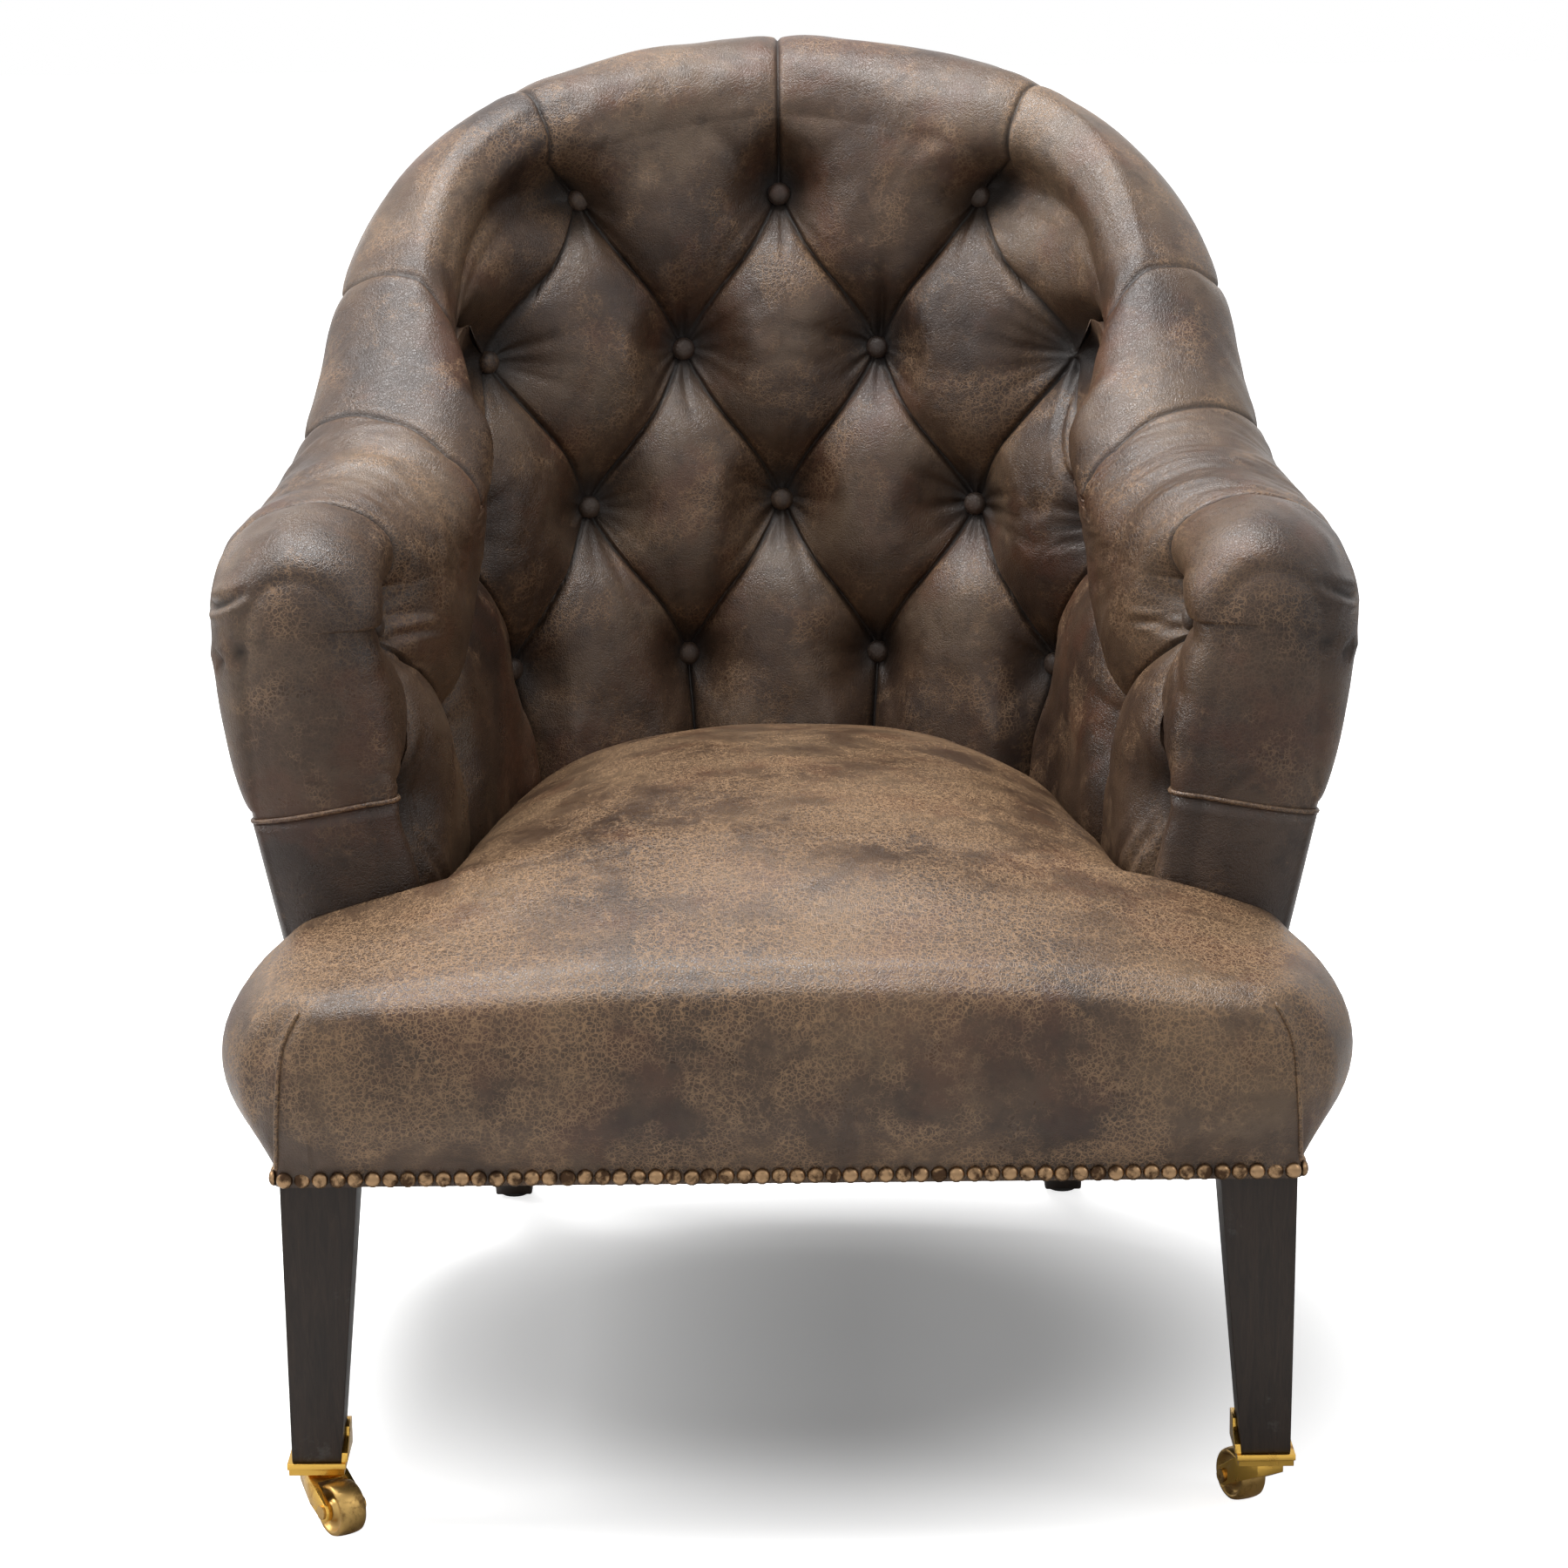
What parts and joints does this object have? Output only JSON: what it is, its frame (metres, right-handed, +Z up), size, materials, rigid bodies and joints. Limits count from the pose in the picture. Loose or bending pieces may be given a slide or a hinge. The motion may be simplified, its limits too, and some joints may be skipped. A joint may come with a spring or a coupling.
{
  "type": "tub armchair",
  "caption": "Deep-buttoned leather tub armchair with a rolled back and arms, a wide tight seat, tapered front legs on swivel castors and raked rear legs.",
  "frame": {"origin": "middle of the bounding box, on the floor", "axes": "+Z up, +X to the right seen from the front, the chair faces -Y"},
  "size_m": [0.7488, 0.7572, 0.892],
  "materials": {
    "leather": "distressed brown aniline leather, soft sheen",
    "button_leather": "leather-covered buttons",
    "antique_nail": "antique bronzed nail heads",
    "stained_wood": "dark stained wood, satin",
    "frame_wood": "bare beech",
    "steel": "plain steel",
    "brass": "cast and polished brass, a little worn",
    "webbing": "woven elastic webbing",
    "foam": "upholstery foam",
    "black_cloth": "thin woven dust cloth",
    "glide_plastic": "moulded glide"
  },
  "bodies": {
    "chair": {"arm_facing_left": "leather", "arm_facing_right": "leather", "arm_post_left": "frame_wood", "arm_post_right": "frame_wood", "arm_rail_left": "frame_wood", "arm_rail_right": "frame_wood", "back_post_left": "frame_wood", "back_post_right": "frame_wood", "back_rail": "frame_wood", "buttons_row_1": "button_leather", "buttons_row_2": "button_leather", "buttons_row_3": "button_leather", "buttons_row_4": "button_leather", "castor_pivot_left": "steel", "castor_pivot_right": "steel", "castor_socket_left": "brass", "castor_socket_right": "brass", "corner_blocks": "frame_wood", "crest_rail": "frame_wood", "dust_cover": "black_cloth", "front_leg_left": "stained_wood", "front_leg_right": "stained_wood", "front_rail": "frame_wood", "inside_arm_pad_left": "leather", "inside_arm_pad_right": "leather", "inside_back_pad": "leather", "nails": "antique_nail", "outside_arm_panel_left": "leather", "outside_arm_panel_right": "leather", "outside_back_panel": "leather", "rear_glides": "glide_plastic", "rear_leg_left": "stained_wood", "rear_leg_right": "stained_wood", "seat_foam": "foam", "seat_pad": "leather", "side_rail_left": "frame_wood", "side_rail_right": "frame_wood", "webbing_cross": "webbing", "webbing_long": "webbing"},
    "castor_swivel_left": {"castor_horn_left": "brass", "castor_axle_left": "brass"},
    "castor_wheel_body_left": {"castor_wheel_left": "brass"},
    "castor_swivel_right": {"castor_horn_right": "brass", "castor_axle_right": "brass"},
    "castor_wheel_body_right": {"castor_wheel_right": "brass"}
  },
  "joints": [
    {"name": "castor_swivel_left", "type": "hinge", "parent": "chair", "child": "castor_swivel_left", "pos_m": [-0.2995, -0.3365, 0.033], "axis": [0, 0, 1], "continuous": true},
    {"name": "castor_roll_left", "type": "hinge", "parent": "castor_swivel_left", "child": "castor_wheel_body_left", "pos_m": [-0.28401, -0.35862, 0.0173], "axis": [0.8192, 0.5736, 0], "continuous": true},
    {"name": "castor_swivel_right", "type": "hinge", "parent": "chair", "child": "castor_swivel_right", "pos_m": [0.2995, -0.3365, 0.033], "axis": [0, 0, 1], "continuous": true},
    {"name": "castor_roll_right", "type": "hinge", "parent": "castor_swivel_right", "child": "castor_wheel_body_right", "pos_m": [0.28792, -0.31211, 0.0173], "axis": [-0.9033, -0.4289, 0], "continuous": true}
  ]
}
